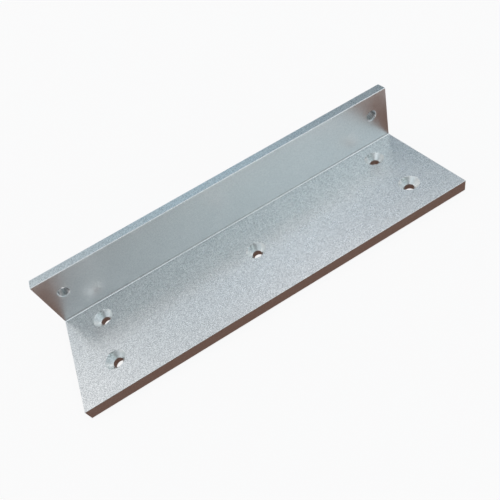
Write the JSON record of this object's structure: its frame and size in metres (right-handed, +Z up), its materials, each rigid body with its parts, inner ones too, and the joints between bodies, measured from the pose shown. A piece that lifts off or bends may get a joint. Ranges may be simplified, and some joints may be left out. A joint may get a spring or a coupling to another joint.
{
  "type": "magnetic lock mounting bracket",
  "caption": "Anodised aluminium angle bracket with countersunk screw holes in its wide flange and tapped holes in its short flange, for mounting a magnetic door lock.",
  "frame": {"origin": "middle of the bounding box's underside, on the wide flange's underside", "axes": "+X along the angle, +Z up from the wide flange's underside, +Y from the free edge to the short flange's outer face"},
  "size_m": [0.268, 0.083, 0.046],
  "materials": {
    "anodised_aluminium": "sand-blasted and clear anodised, matt silver"
  },
  "bodies": {
    "root": {"angle_bracket": "anodised_aluminium"}
  },
  "joints": []
}
